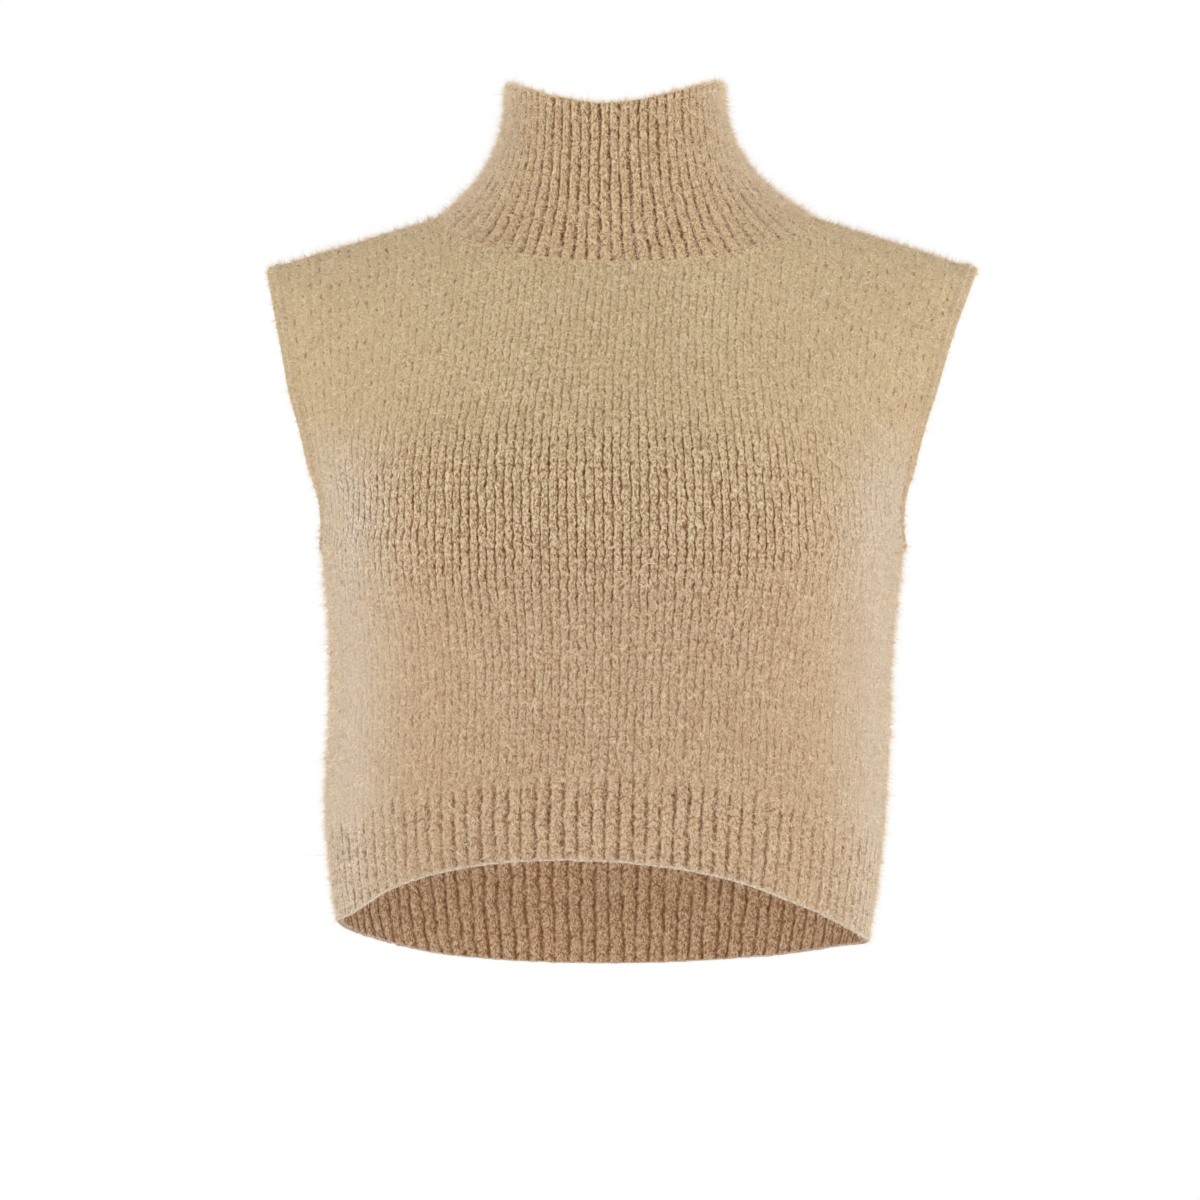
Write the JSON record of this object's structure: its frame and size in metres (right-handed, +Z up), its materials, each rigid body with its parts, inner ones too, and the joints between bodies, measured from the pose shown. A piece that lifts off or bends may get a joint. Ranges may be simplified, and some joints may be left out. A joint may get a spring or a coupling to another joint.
{
  "type": "sweater vest",
  "caption": "Cropped sleeveless knitted sweater vest with a ribbed funnel collar, wide armholes and a ribbed hem that is raised at the front, in the hollow form it has when worn.",
  "frame": {"origin": "middle of the neck hole, level with the two neck points where its edge crosses the shoulders; the wearer's neck and shoulders hold the vest there", "axes": "+Z up along the wearer's neck, +Y to the back, +X to the right as seen from the front; the front faces -Y"},
  "size_m": [0.376, 0.2185, 0.4648],
  "materials": {
    "front_panel": "matt brushed knit, stockinette",
    "back_panel": "matt brushed knit, stockinette",
    "collar": "matt brushed knit, 1x1 rib",
    "front_hem_rib": "matt brushed knit, 1x1 rib",
    "back_hem_rib": "matt brushed knit, 1x1 rib"
  },
  "bodies": {
    "root": {"front_panel": "front_panel", "back_panel": "back_panel", "collar": "collar", "front_hem_rib": "front_hem_rib", "back_hem_rib": "back_hem_rib"}
  },
  "joints": []
}
